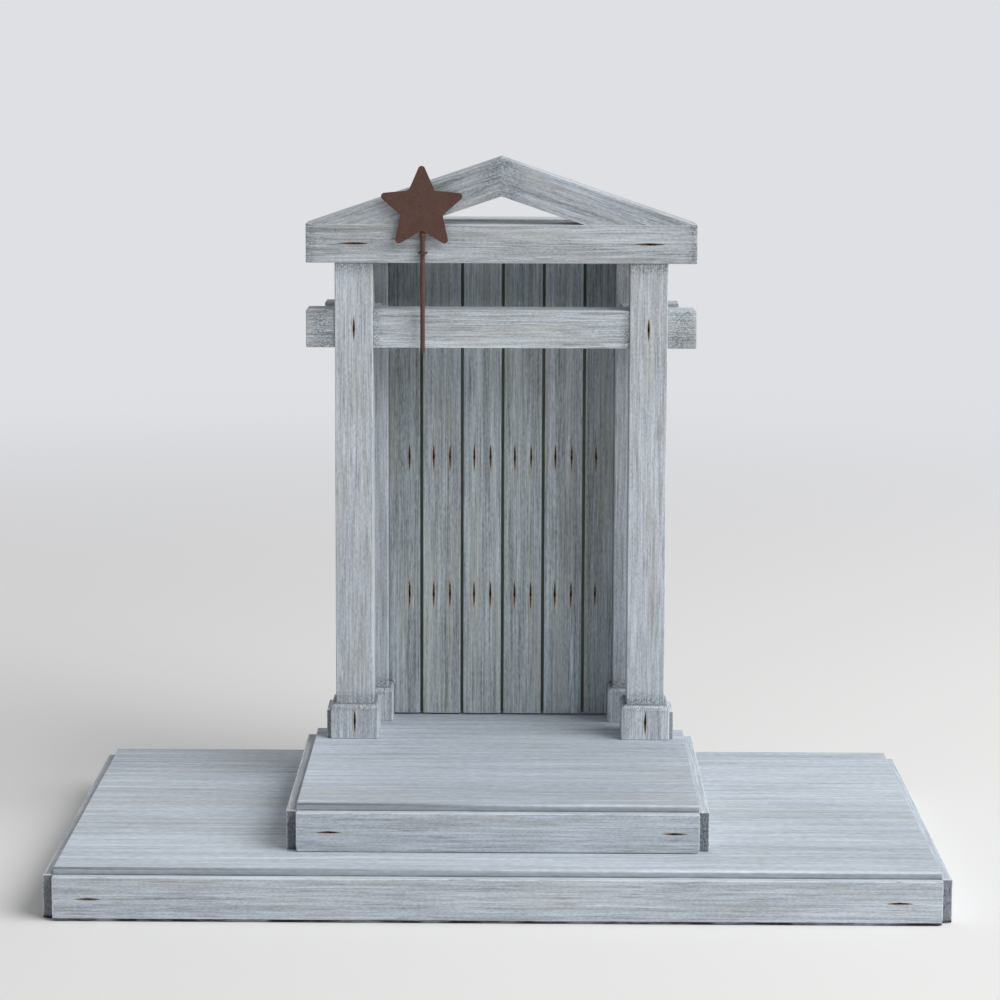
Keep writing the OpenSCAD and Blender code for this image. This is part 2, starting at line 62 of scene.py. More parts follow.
class Tree:
    """A node tree, with one short word for each kind of node that the materials use."""

    def __init__(self, tree):
        self.tree = tree

    def add(self, kind, **settings):
        node = self.tree.nodes.new(kind)
        for name, value in settings.items():
            setattr(node, name, value)
        return node

    def put(self, socket, value):
        """Sets an input to a number, or links it to an output."""
        if isinstance(value, bpy.types.NodeSocket):
            self.tree.links.new(value, socket)
        elif value is not None:
            socket.default_value = value

    def math(self, operation, *values):
        node = self.add("ShaderNodeMath", operation=operation)
        for socket, value in zip(node.inputs, values):
            self.put(socket, value)
        return node.outputs[0]

    def chain(self, operation, values):
        """One operation over any number of values, two at a time."""
        result = values[0]
        for value in values[1:]:
            result = self.math(operation, result, value)
        return result

    def total(self, *values):
        return self.chain("ADD", values)

    def product(self, *values):
        return self.chain("MULTIPLY", values)

    def least(self, *values):
        return self.chain("MINIMUM", values)

    def most(self, *values):
        return self.chain("MAXIMUM", values)

    def vector(self, operation, *values):
        node = self.add("ShaderNodeVectorMath", operation=operation)
        for socket, value in zip(node.inputs, values):
            self.put(socket, value)
        return node.outputs["Value" if operation in ("LENGTH", "DOT_PRODUCT") else 0]

    def scale(self, vector, factor):
        node = self.add("ShaderNodeVectorMath", operation="SCALE")
        self.put(node.inputs[0], vector)
        self.put(node.inputs["Scale"], factor)
        return node.outputs[0]

    def noise(self, vector, detail=2.0, roughness=0.5):
        node = self.add("ShaderNodeTexNoise", noise_dimensions="3D")
        self.put(node.inputs["Vector"], vector)
        self.put(node.inputs["Scale"], 1.0)
        self.put(node.inputs["Detail"], detail)
        self.put(node.inputs["Roughness"], roughness)
        return node.outputs[0]

    def step(self, value, low, high, start=0.0, end=1.0):
        """Start below low, end above high, and a smooth step between them."""
        node = self.add("ShaderNodeMapRange", interpolation_type="SMOOTHSTEP")
        for name, v in (
            ("Value", value), ("From Min", low), ("From Max", high), ("To Min", start), ("To Max", end)
        ):
            self.put(node.inputs[name], v)
        return node.outputs[0]

    def mix(self, factor, a, b):
        node = self.add("ShaderNodeMix", data_type="RGBA")
        self.put(node.inputs[0], factor)
        self.put(node.inputs[6], a)
        self.put(node.inputs[7], b)
        return node.outputs[2]

    def split(self, vector):
        node = self.add("ShaderNodeSeparateXYZ")
        self.put(node.inputs[0], vector)
        return node.outputs[:3]

    def join(self, x, y, z):
        node = self.add("ShaderNodeCombineXYZ")
        for socket, value in zip(node.inputs, (x, y, z)):
            self.put(socket, value)
        return node.outputs[0]

    def bump(self, height, strength, depth):
        """A normal raised by height, up to depth in metres."""
        node = self.add("ShaderNodeBump")
        self.put(node.inputs["Strength"], strength)
        self.put(node.inputs["Distance"], depth)
        self.put(node.inputs["Height"], height)
        return node.outputs[0]


def new_material(name):
    """A material with an empty node tree, and the Tree that fills it."""
    material = bpy.data.materials.new(name)
    material.use_nodes = True
    material.node_tree.nodes.clear()
    return material, Tree(material.node_tree)


SPECULAR = 0.3


def finish_material(t, colour, roughness, normal):
    shader = t.add("ShaderNodeBsdfPrincipled")
    shader.inputs["Specular IOR Level"].default_value = SPECULAR
    t.put(shader.inputs["Base Color"], colour)
    t.put(shader.inputs["Roughness"], roughness)
    t.put(shader.inputs["Normal"], normal)
    t.put(t.add("ShaderNodeOutputMaterial").inputs[0], shader.outputs[0])


def make_group(name, inputs, outputs):
    """An empty shader group, its Tree, its inputs by name and its output node."""
    group = bpy.data.node_groups.new(name, "ShaderNodeTree")
    for label, kind, default in inputs:
        socket = group.interface.new_socket(label, in_out="INPUT", socket_type=kind)
        if default is not None:
            socket.default_value = default
    for label, kind in outputs:
        group.interface.new_socket(label, in_out="OUTPUT", socket_type=kind)
    tree = Tree(group)
    source = tree.add("NodeGroupInput")
    return group, tree, {s.name: s for s in source.outputs if s.name}, tree.add("NodeGroupOutput")


NUMBER, COLOUR, VECTOR = "NodeSocketFloat", "NodeSocketColor", "NodeSocketVector"

# ---------------------------------------------------------------- the brushed paint

BARE_STREAK = linear(88, 94, 98)
WARM_STREAK = linear(176, 172, 158)
CHALK_STREAK = linear(218, 223, 227)
END_GRAIN = linear(74, 78, 84)

# Marks along the grain: length and width in millimetres, a shift to set them apart, detail, roughness.
STREAKS = {
    "broad": (110, 26, 3.1, 2, 0.5),
    "medium": (150, 2.6, 7.7, 4, 0.6),
    "fine": (36, 0.85, 1.9, 2, 0.5),
    "grit": (2.6, 0.8, 4.3, 1, 0.5),
    "bare": (26, 1.1, 5.3, 3, 0.5),
    "chalk": (22, 1.0, 9.1, 3, 0.5),
    "warm": (90, 9, 2.7, 2, 0.5),
}
TONE_STRENGTHS = {"broad": 0.65, "medium": 1.0, "fine": 1.0, "grit": 0.7}
HEIGHT_STRENGTHS = {"medium": 0.5, "fine": 0.5}
BARE_DEPTH = -0.3
MARK_RANGE, WARM_RANGE = (0.56, 0.70), (0.48, 0.70)
PORE_SCALE, PORE_RANGE, PORE_LEAST = (600, 900, 500), (0.30, 0.62), 0.55
# The breakup of the pale arrises, which are partly worn paint and partly painted highlight.
CHIP_AND_GLINT_SCALE, CHIP_AND_GLINT_RANGE, CHIP_AND_GLINT_LEAST = (140, 420, 420), (0.36, 0.58), 0.15
TONE_RANGE, DULLEST, SMOOTHEST = (-0.3, 0.3), 0.64, 0.5


def brushed_paint_group():
    """Thin paint brushed along the grain. Grain is metres, with x along the grain."""
    group, t, given, out = make_group(
        "brushed_paint",
        [
            ("Grain", VECTOR, None),
            ("Base", COLOUR, linear(184, 190, 197)),
            ("Length", NUMBER, 1.0),
            ("Width", NUMBER, 1.0),
            ("Contrast", NUMBER, 1.0),
            ("Bare", NUMBER, 0.5),
            ("Chalk", NUMBER, 0.4),
            ("Warm", NUMBER, 0.3),
            ("Edge", NUMBER, 0.0),
            ("End", NUMBER, 0.0),
        ],
        [("Color", COLOUR), ("Height", NUMBER), ("Roughness", NUMBER)],
    )
    along, across, depth = t.split(given["Grain"])
    along = t.math("DIVIDE", along, given["Length"])
    across = t.math("DIVIDE", across, given["Width"])
    depth = t.math("DIVIDE", depth, given["Width"])

    def streak(length, width, shift, detail, roughness):
        """Noise drawn out along the grain, with marks about so long and so wide, in millimetres."""
        return t.noise(
            t.join(
                t.total(t.product(along, 1 / MM / length), shift),
                t.product(across, 1 / MM / width),
                t.product(depth, 1 / MM / width),
            ),
            detail, roughness,
        )

    marks = {name: streak(*sizes) for name, sizes in STREAKS.items()}
    tone = t.total(*(
        t.product(t.math("SUBTRACT", marks[name], 0.5), strength)
        for name, strength in TONE_STRENGTHS.items()
    ))
    colour = t.scale(given["Base"], t.total(t.product(tone, given["Contrast"]), 1.0))
    bare = t.product(t.step(marks["bare"], *MARK_RANGE), given["Bare"])
    colour = t.mix(bare, colour, BARE_STREAK)
    colour = t.mix(t.product(t.step(marks["warm"], *WARM_RANGE), given["Warm"]), colour, WARM_STREAK)
    colour = t.mix(t.product(t.step(marks["chalk"], *MARK_RANGE), given["Chalk"]), colour, CHALK_STREAK)

    pores = t.noise(t.vector("MULTIPLY", given["Grain"], PORE_SCALE), detail=3, roughness=0.7)
    end = t.product(given["End"], t.step(pores, *PORE_RANGE, 1.0, PORE_LEAST))
    colour = t.mix(end, colour, END_GRAIN)

    # Pale arrises: partly worn paint, partly a painted highlight where an arris catches the light.
    chips_and_glints = t.noise(t.vector("MULTIPLY", given["Grain"], CHIP_AND_GLINT_SCALE), detail=3)
    edge = t.product(given["Edge"], t.step(chips_and_glints, *CHIP_AND_GLINT_RANGE, CHIP_AND_GLINT_LEAST, 1.0))
    colour = t.mix(edge, colour, CHALK_STREAK)

    heights = [t.product(marks[name], strength) for name, strength in HEIGHT_STRENGTHS.items()]
    t.put(out.inputs["Color"], colour)
    t.put(out.inputs["Height"], t.total(*heights, t.product(bare, BARE_DEPTH)))
    t.put(out.inputs["Roughness"], t.step(tone, *TONE_RANGE, DULLEST, SMOOTHEST))
    return group


BRUSHED = brushed_paint_group()

# ---------------------------------------------------------------- worn slits round the nails

SLIT_NAIL = linear(26, 19, 15)
SLIT_DARK = linear(62, 46, 32)
SLIT_RUST = linear(120, 80, 46)
SLIT_HALO = linear(196, 180, 140)

SLIT_WIDTH = 1.9 * MM
SLIT_WANDER, WANDER_SCALE = 0.8 * MM, 420.0
NAIL_STRETCH, NAIL_CORE, NAIL_RIM = 0.55, 0.5 * MM, 1.5 * MM
SLIT_DEPTH = 3 * MM
# How far the rust inside and the halo round a slit reach, in the distance that is 1 on its rim.
INSIDE_RANGE, HALO_RANGE, HALO_STRENGTH = (0.55, 1.0), (0.8, 1.8), 0.75
DARK_END, DARK_END_RIM = (-0.5, 0.7), (1.2, 1.6)
DARK_RANGE, DARK_SPECKS = (0.3, 1.1), 0.6
SPECK_SCALE, SPECK_RANGE = 700.0, (0.35, 0.6)


def slit_shape_group():
    """How far a point is from a slit, 1 on its lens-shaped rim, and from its nail; and its dark end."""
    group, t, given, out = make_group(
        "slit_shape",
        [
            ("Point", VECTOR, None),
            ("Centre", VECTOR, None),
            ("Half", NUMBER, 9.0 * MM),
            ("Upright", NUMBER, 0.0),
        ],
        [("Rim", NUMBER), ("Nail", NUMBER), ("Fade", NUMBER)],
    )
    x, _, z = t.split(t.vector("SUBTRACT", given["Point"], given["Centre"]))
    ragged = t.noise(t.scale(given["Point"], WANDER_SCALE), detail=1)
    wander = t.product(t.math("SUBTRACT", ragged, 0.5), SLIT_WANDER)
    turned = t.add("ShaderNodeMix", data_type="VECTOR")
    t.put(turned.inputs[0], given["Upright"])
    t.put(turned.inputs[4], t.join(x, t.total(z, wander), 0.0))
    t.put(turned.inputs[5], t.join(z, t.total(x, wander), 0.0))
    u, v, _ = t.split(turned.outputs[1])
    reach = t.math("DIVIDE", t.math("ABSOLUTE", u), given["Half"])
    rim = t.total(
        t.math("DIVIDE", t.math("ABSOLUTE", v), SLIT_WIDTH / 2), t.math("POWER", reach, 2.0)
    )
    nail = t.vector("LENGTH", t.join(t.product(u, NAIL_STRETCH), v, 0.0))
    fade = t.step(t.math("DIVIDE", u, given["Half"]), *DARK_END)
    t.put(out.inputs["Rim"], rim)
    t.put(out.inputs["Nail"], nail)
    t.put(out.inputs["Fade"], t.product(fade, t.step(rim, *DARK_END_RIM, 1.0, 0.0)))
    return group


SLIT = slit_shape_group()


def slit_stain(t, colour, point, slits):
    """Rust in and round the worn slits of a front face."""
    shapes = []
    for centre, half, upright in slits:
        shape = t.add("ShaderNodeGroup", node_tree=SLIT)
        t.put(shape.inputs["Point"], point)
        t.put(shape.inputs["Centre"], centre)
        t.put(shape.inputs["Half"], half)
        t.put(shape.inputs["Upright"], 1.0 if upright else 0.0)
        shapes.append(shape.outputs)
    rim = t.least(*(s["Rim"] for s in shapes))
    nail = t.least(*(s["Nail"] for s in shapes))
    fade = t.most(*(s["Fade"] for s in shapes))
    behind = slits[0][0][1] + SLIT_DEPTH
    shown = t.step(t.split(point)[1], behind, behind + MM, 1.0, 0.0)
    speck = t.noise(t.scale(point, SPECK_SCALE), detail=2)
    halo = t.product(t.step(rim, *HALO_RANGE, HALO_STRENGTH, 0.0), t.step(speck, *SPECK_RANGE), shown)
    colour = t.mix(halo, colour, SLIT_HALO)
    darker = t.step(t.total(fade, t.product(speck, DARK_SPECKS)), *DARK_RANGE)
    rust = t.mix(darker, SLIT_RUST, SLIT_DARK)
    rust = t.mix(t.step(nail, NAIL_CORE, NAIL_RIM, 1.0, 0.0), rust, SLIT_NAIL)
    inside = t.product(t.step(rim, *INSIDE_RANGE, 1.0, 0.0), shown)
    return t.mix(inside, colour, rust)


# ---------------------------------------------------------------- the paint of one node

# A band of painted shade: its mottling, and how softly it starts at its foot and ends at its head.
MOTTLE_SCALE, MOTTLE_RANGE, MOTTLE_LEAST = (60, 500, 500), (0.30, 0.60), 0.6
BAND_FOOT, BAND_HEAD = mm(0.2, 0.4)
# Dark flecks at a joint: colour, strength, the share of the reach that is darkest, flecks and patches.
JOINT_FLECK_GREY, JOINT_FLECK_STRENGTH, JOINT_FLECK_DARKEST = linear(104, 112, 120), 0.85, 0.2
FLECK_SCALE, FLECK_RANGE = (700, 1500, 1500), (0.40, 0.60)
PATCH_SCALE, PATCH_RANGE, PATCH_LEAST = (60, 90, 90), (0.3, 0.6), 0.5
SEED_SHIFT = (0.731, 1.319, 0.517)
PAINT_BUMP, PAINT_DEPTH = 0.35, 0.25 * MM
EDGE_WIDTH = 1.1 * MM
ENDWISE_RANGE = (0.7, 0.9)


def grain_turn(axis, slope=0.0):
    """The rotation that takes the object's axes to the grain's, with x along the grain."""
    turn = {
        "X": Matrix.Identity(3),
        "Y": Matrix.Rotation(-math.pi / 2, 3, "Z"),
        "Z": Matrix.Rotation(math.pi / 2, 3, "Y"),
    }
    return (turn[axis] @ Matrix.Rotation(slope, 3, "Y")).to_euler()


def edge_mask(t, point, low, high, width):
    """1 on the arrises of the box from low to high, 0 from width away, by the box's own planes."""
    a, b, c = (
        t.least(t.math("SUBTRACT", value, lo), t.math("SUBTRACT", hi, value))
        for value, lo, hi in zip(t.split(point), low, high)
    )
    second = t.most(t.least(a, b), t.least(t.most(a, b), c))
    return t.step(second, 0.0, width, 1.0, 0.0)


def painted_shade_bands(t, colour, point, shifted, shade_bands):
    """Mottled bands of painted shade between two heights, such as where a board meets what it stands
    on.
    """
    height = t.split(point)[2]
    for bottom, top, shade, strength in shade_bands:
        mottled = t.noise(t.vector("MULTIPLY", shifted, MOTTLE_SCALE), detail=3)
        inside = t.product(
            t.step(height, bottom - BAND_FOOT, bottom),
            t.step(height, top - BAND_HEAD, top, 1.0, 0.0),
            t.step(mottled, *MOTTLE_RANGE, MOTTLE_LEAST * strength, strength),
        )
        colour = t.mix(inside, colour, shade)
    return colour


def joint_flecks(t, colour, point, shifted, fleck_joints):
    """Flecks of darker grey within reach of the planes where pieces meet."""
    for axis, place, reach in fleck_joints:
        away = t.math("ABSOLUTE", t.math("SUBTRACT", t.split(point)["XYZ".index(axis)], place))
        flecks = t.noise(t.vector("MULTIPLY", shifted, FLECK_SCALE), detail=2)
        patches = t.noise(t.vector("MULTIPLY", shifted, PATCH_SCALE), detail=2)
        inside = t.product(
            t.step(away, JOINT_FLECK_DARKEST * reach, reach, JOINT_FLECK_STRENGTH, 0.0),
            t.step(flecks, *FLECK_RANGE),
            t.step(patches, *PATCH_RANGE, PATCH_LEAST, 1.0),
        )
        colour = t.mix(inside, colour, JOINT_FLECK_GREY)
    return colour


def paint_material(
    name, corners, axis="X", slope=0.0, seed=0, slits=(), shade_bands=(), fleck_joints=(),
    edge=0.5, edge_width=EDGE_WIDTH, end=0.9, **look
):
    """Brushed paint for one node: its grain along an axis, painted shade bands, joint flecks and slits.
    """
    turn = grain_turn(axis, slope)
    turned = [turn.to_matrix() @ c for c in corners]
    low = [min(c[i] for c in turned) for i in range(3)]
    high = [max(c[i] for c in turned) for i in range(3)]

    material, t = new_material(name)
    point = t.add("ShaderNodeTexCoord").outputs["Object"]
    placed = t.add("ShaderNodeMapping", vector_type="POINT")
    t.put(placed.inputs["Vector"], point)
    placed.inputs["Rotation"].default_value = turn
    shifted = t.vector("ADD", placed.outputs[0], tuple(s * seed for s in SEED_SHIFT))
    facing = t.add("ShaderNodeNewGeometry").outputs["True Normal"]
    along = tuple(turn.to_matrix().transposed() @ Vector((1, 0, 0)))
    endwise = t.math("ABSOLUTE", t.vector("DOT_PRODUCT", facing, along))

    group = t.add("ShaderNodeGroup", node_tree=BRUSHED)
    t.put(group.inputs["Grain"], shifted)
    for label, value in look.items():
        t.put(group.inputs[label], value)
    on_edge = edge_mask(t, placed.outputs[0], low, high, edge_width)
    t.put(group.inputs["Edge"], t.product(on_edge, edge))
    t.put(group.inputs["End"], t.step(endwise, *ENDWISE_RANGE, 0.0, end))

    colour = painted_shade_bands(t, group.outputs["Color"], point, shifted, shade_bands)
    colour = joint_flecks(t, colour, point, shifted, fleck_joints)
    if slits:
        colour = slit_stain(t, colour, point, slits)
    normal = t.bump(group.outputs["Height"], PAINT_BUMP, PAINT_DEPTH)
    finish_material(t, colour, group.outputs["Roughness"], normal)
    return material


# ---------------------------------------------------------------- rust, nails, bare wood

PLAIN_DEPTH, PLAIN_RANGE = 0.3 * MM, (0.36, 0.64)
BROAD_SHARE, BROADER = 0.35, 7


def plain_material(name, dark, light, grain=(1, 1, 1), scale=400.0, roughness=0.6, bump=0.1):
    """A mottled matte surface between two colours, its marks drawn out by grain."""
    material, t = new_material(name)
    point = t.add("ShaderNodeTexCoord").outputs["Object"]
    marks = t.noise(
        t.vector("MULTIPLY", point, tuple(scale * g for g in grain)), detail=4, roughness=0.6
    )
    broad = t.noise(t.vector("MULTIPLY", point, tuple(scale * g / BROADER for g in grain)), detail=2)
    tone = t.total(t.product(marks, 1 - BROAD_SHARE), t.product(broad, BROAD_SHARE))
    colour = t.mix(t.step(tone, *PLAIN_RANGE), dark, light)
    finish_material(t, colour, roughness, t.bump(marks, bump, PLAIN_DEPTH))
    return material


RUST = plain_material("rusted_steel", linear(84, 58, 51), linear(98, 70, 62), scale=700, bump=0.15)
NAIL = plain_material("nail_steel", linear(30, 22, 18), linear(48, 34, 28), scale=1500, roughness=0.7)
DARK_PANEL = plain_material(
    "dark_panel", linear(116, 124, 110), linear(138, 146, 130), grain=(1, 1, 0.05), roughness=0.8
)
BARE_WOOD = plain_material(
    "bare_wood", linear(158, 130, 94), linear(190, 160, 120), grain=(1, 0.05, 1), scale=420,
    roughness=0.75,
)

# ---------------------------------------------------------------- arrises of the CAD solids

ARRIS = 0.7 * MM
CORNER = 4.6 * MM
STAR_ARRIS = 0.25 * MM
SHORTEST_ARRIS = 0.25 * MM
SHARP = math.radians(30)
ON_SEAM = 0.05 * MM
SLIT_MARGIN, SLIT_CLEAR = 0.5 * MM, 2.0 * MM
ARRIS_SEGMENTS, CORNER_SEGMENTS = 2, 4
WELD = 0.01 * MM


def arris_weights(name, slits, seams, rounded):
    """A Geometry Nodes group that weighs a solid's arrises for the bevel, but not at slits or seams."""
    group = bpy.data.node_groups.new(name, "GeometryNodeTree")
    group.is_modifier = True
    group.interface.new_socket("Geometry", in_out="INPUT", socket_type="NodeSocketGeometry")
    group.interface.new_socket("Geometry", in_out="OUTPUT", socket_type="NodeSocketGeometry")
    t = Tree(group)
    source, out = t.add("NodeGroupInput"), t.add("NodeGroupOutput")
    ends = t.add("GeometryNodeInputMeshEdgeVertices")
    first, last = ends.outputs["Position 1"], ends.outputs["Position 2"]
    length = t.vector("LENGTH", t.vector("SUBTRACT", last, first))
    sharp = t.math("GREATER_THAN", t.add("GeometryNodeInputMeshEdgeAngle").outputs[0], SHARP)
    chosen = t.product(sharp, t.math("GREATER_THAN", length, SHORTEST_ARRIS))
    middle = t.scale(t.vector("ADD", first, last), 0.5)
    for centre, half, upright in slits:
        wide, narrow = 1 / (half + SLIT_MARGIN), 1 / SLIT_CLEAR
        scale = (narrow, 0.0, wide) if upright else (wide, 0.0, narrow)
        away = t.vector("LENGTH", t.vector("MULTIPLY", t.vector("SUBTRACT", middle, centre), scale))
        chosen = t.product(chosen, t.math("GREATER_THAN", away, 1.0))
    for axis, place in seams:
        gap = t.math("ABSOLUTE", t.math("SUBTRACT", t.split(middle)["XYZ".index(axis)], place))
        chosen = t.product(chosen, t.math("GREATER_THAN", gap, ON_SEAM))
    if rounded:
        x, _, z = t.split(middle)
        near = t.math("LESS_THAN", t.least(*(
            t.vector("LENGTH", t.join(t.math("SUBTRACT", x, cx), 0.0, t.math("SUBTRACT", z, cz)))
            for cx, cz in rounded
        )), ON_SEAM)
        plain = ARRIS / CORNER
        chosen = t.product(chosen, t.total(t.product(near, 1.0 - plain), plain))
    drop = t.add("GeometryNodeRemoveAttribute")
    drop.inputs["Name"].default_value = "custom_normal"
    t.put(drop.inputs["Geometry"], source.outputs[0])
    store = t.add("GeometryNodeStoreNamedAttribute", data_type="FLOAT", domain="EDGE")
    store.inputs["Name"].default_value = "bevel_weight_edge"
    t.put(store.inputs["Geometry"], drop.outputs[0])
    t.put(store.inputs["Value"], chosen)
    t.put(out.inputs[0], store.outputs[0])
    return group


def round_arrises(piece, slits=(), seams=(), rounded=(), radius=ARRIS):
    """Softens the sharp arrises of a CAD node with modifiers alone, so its mesh stays as imported."""
    weld = piece.modifiers.new("weld", "WELD")
    weld.merge_threshold = WELD
    weights = piece.modifiers.new("arris_weights", "NODES")
    weights.node_group = arris_weights(f"arrises_{piece.name}", slits, seams, rounded)
    bevel = piece.modifiers.new("arris", "BEVEL")
    bevel.width = CORNER if rounded else radius
    bevel.segments = CORNER_SEGMENTS if rounded else ARRIS_SEGMENTS
    bevel.limit_method = "WEIGHT"
    bevel.use_clamp_overlap = False


# ---------------------------------------------------------------- places, from the frame


def corners_of(name):
    return [v.co for v in nodes[name].data.vertices]


def extent(name):
    """The lowest and the highest corner of the box round a node's own mesh."""
    corners = corners_of(name)
    return [Vector([pick(c[i] for c in corners) for i in range(3)]) for pick in (min, max)]


def top_of(name):
    return extent(name)[1].z


def middle_of(name):
    low, high = extent(name)
    return (low + high) / 2


LOWER_TOP, UPPER_TOP, FOOT_TOP = top_of("lower_deck"), top_of("upper_deck"), top_of("front_left_foot")
CHORD_TOP, RIDGE = top_of("pediment_chord"), top_of("left_rafter")
HALF_CHORD = extent("pediment_chord")[1].x
POST_IN, POST_OUT = (corner.x for corner in extent("front_right_post"))
# The chord is as deep as a post is wide.
CHORD_BOTTOM = CHORD_TOP - (POST_OUT - POST_IN)
CORNERS = ("front_left", "front_right", "rear_left", "rear_right")

# ---------------------------------------------------------------- what each node is made of

FRONT_BOARD = dict(Base=linear(190, 198, 207), Bare=0.35, Contrast=0.9, Warm=0.2, edge=1.0)
DECK = dict(
    Base=linear(183, 191, 200), Length=2.2, Width=3.0, Bare=0.15, Chalk=0.2, Contrast=0.65, Warm=0.2,
    edge=0.1,
)
# The upper deck's paint is darker than the lower deck's: painted shade, for the shade under the roof.
SHADED_UPPER_DECK = {**DECK, "Base": linear(174, 182, 192)}
POST = dict(Base=linear(193, 199, 206), Bare=0.4, Contrast=1.0)
FOOT = {**POST, "Contrast": 1.2, "Bare": 0.45, "Chalk": 0.6, "edge": 0.8, "edge_width": 1.4 * MM}
BEAM = dict(Base=linear(178, 184, 190), Bare=0.4, Chalk=0.6, Contrast=1.2, edge=0.3)
FRONT_BEAM = {**BEAM, "Base": linear(188, 195, 201)}
RAFTER = dict(Base=linear(168, 175, 182), Bare=0.45, Contrast=1.25, edge=0.4)
PLANK_COLOUR = (168, 176, 180)
PLANK = dict(Base=linear(*PLANK_COLOUR), Bare=0.5, Contrast=1.35, Length=1.5)
# Each plank's paint is a little lighter or darker: partly the planks' own tones, partly painted shade
# across the wall.
PLANK_TONES_AND_SHADE = (0.957, 1.02, 1.075, 1.02, 1.09, 0.95)
# The left boards' paint is darker: painted shade, for the shadow that falls on their tops.
SHADED_LEFT_BOARD = {**FRONT_BOARD, "Base": linear(166, 172, 179)}

# Each painted node: the axis of its grain, and its look. Its place in this table seeds its marks.
PAINTED = {
    "lower_deck": ("X", DECK),
    "upper_deck": ("X", SHADED_UPPER_DECK),
    "lower_front_board": ("X", FRONT_BOARD),
    "lower_back_board": ("X", FRONT_BOARD),
    "lower_left_board": ("Y", {**SHADED_LEFT_BOARD, "end": 0.85}),
    "lower_right_board": ("Y", {**FRONT_BOARD, "end": 0.9}),
    "upper_front_board": ("X", FRONT_BOARD),
    "upper_left_board": ("Y", {**SHADED_LEFT_BOARD, "end": 1.0}),
    "upper_right_board": ("Y", {**FRONT_BOARD, "end": 1.0}),
    "upper_shoulder_strips": ("X", FRONT_BOARD),
    "rear_left_board": ("Y", FRONT_BOARD),
    "rear_right_board": ("Y", FRONT_BOARD),
    "rear_back_board": ("X", FRONT_BOARD),
    "front_beam": ("X", FRONT_BEAM),
    "rear_left_stub": ("X", BEAM),
    "rear_right_stub": ("X", BEAM),
    "left_side_rail": ("Y", BEAM),
    "right_side_rail": ("Y", BEAM),
    "pediment_chord": ("X", BEAM),
    "rear_lintel": ("X", BEAM),
    "lower_wall_rail": ("X", PLANK),
    "middle_wall_rail": ("X", PLANK),
    "upper_wall_rail": ("X", PLANK),
    "left_rafter": ("X", RAFTER),
    "right_rafter": ("X", RAFTER),
}
for corner in CORNERS:
    PAINTED[f"{corner}_foot"] = ("Z", FOOT)
    # The cheeks' front ends show dark end grain, stronger on the left cheeks: there it is partly
    # painted shade.
    PAINTED[f"{corner}_cheek"] = ("Y", {**POST, "end": 1.0 if "left" in corner else 0.6})
    PAINTED[f"{corner}_post"] = ("Z", POST)
for plank, shade in enumerate(PLANK_TONES_AND_SHADE, 1):
    PAINTED[f"plank_{plank}"] = ("Z", {**PLANK, "Base": linear(*(c * shade for c in PLANK_COLOUR))})

NAILS = ("step_nails", "foot_nails", "beam_nails", "chord_nails", "plank_nails", "rail_nails")
BEARERS = ("lower_bearers", "upper_bearers")
RUSTED = ("star", "star_rod", "rod_staple")

RAFTER_SLOPE = math.atan2(RIDGE - CHORD_TOP, HALF_CHORD)
SLOPES = {"left_rafter": RAFTER_SLOPE, "right_rafter": -RAFTER_SLOPE}

# Planes where two flush pieces meet, whose arrises stay sharp: axis and place.
SEAMS = {
    "pediment_chord": [("Z", CHORD_TOP)],
    "left_rafter": [("Z", CHORD_TOP), ("X", 0.0)],
    "right_rafter": [("Z", CHORD_TOP), ("X", 0.0)],
}
for corner in CORNERS:
    SEAMS[f"{corner}_foot"] = SEAMS[f"{corner}_post"] = [("Z", FOOT_TOP)]

# The lower corners of the edge boards that are well rounded: -1 left, 1 right.
ROUNDED_ENDS = {
    "lower_front_board": (-1, 1), "lower_back_board": (-1, 1),
    "lower_left_board": (-1,), "lower_right_board": (1,),
    "upper_front_board": (-1, 1), "upper_left_board": (-1,), "upper_right_board": (1,),
}

# Bands of painted shade: bottom, top, colour and strength.
CONTACT_SHADOW = linear(58, 50, 48)
GROUND_SHADOW = linear(30, 22, 22)
DECK_FACE_SHADE = linear(140, 146, 152)
GROUND_SHADOW_TOP, LINE, DECK_ROUNDING = mm(2.3, 0.9, 1.8)


def deck_shade_bands(deck_top, board_top):
    """Painted shade on the deck's own edge above its boards, and a painted contact shadow where it
    meets them.
    """
    return [
        (board_top, deck_top - DECK_ROUNDING, DECK_FACE_SHADE, 0.4),
        (board_top, board_top + LINE, CONTACT_SHADOW, 0.5),
    ]


SHADE_BANDS = {
    "lower_deck": deck_shade_bands(LOWER_TOP, top_of("lower_front_board")),
    "upper_deck": deck_shade_bands(UPPER_TOP, top_of("upper_front_board")),
}
# Lower boards: a painted shadow along their foot. Boards standing on the lower deck: a painted contact
# shadow.
for side in ("front", "back", "left", "right"):
    SHADE_BANDS[f"lower_{side}_board"] = [(0.0, GROUND_SHADOW_TOP, GROUND_SHADOW, 1.0)]
for board in ("upper_front", "upper_left", "upper_right", "rear_left", "rear_right", "rear_back"):
    SHADE_BANDS[f"{board}_board"] = [(LOWER_TOP, LOWER_TOP + LINE, CONTACT_SHADOW, 0.8)]

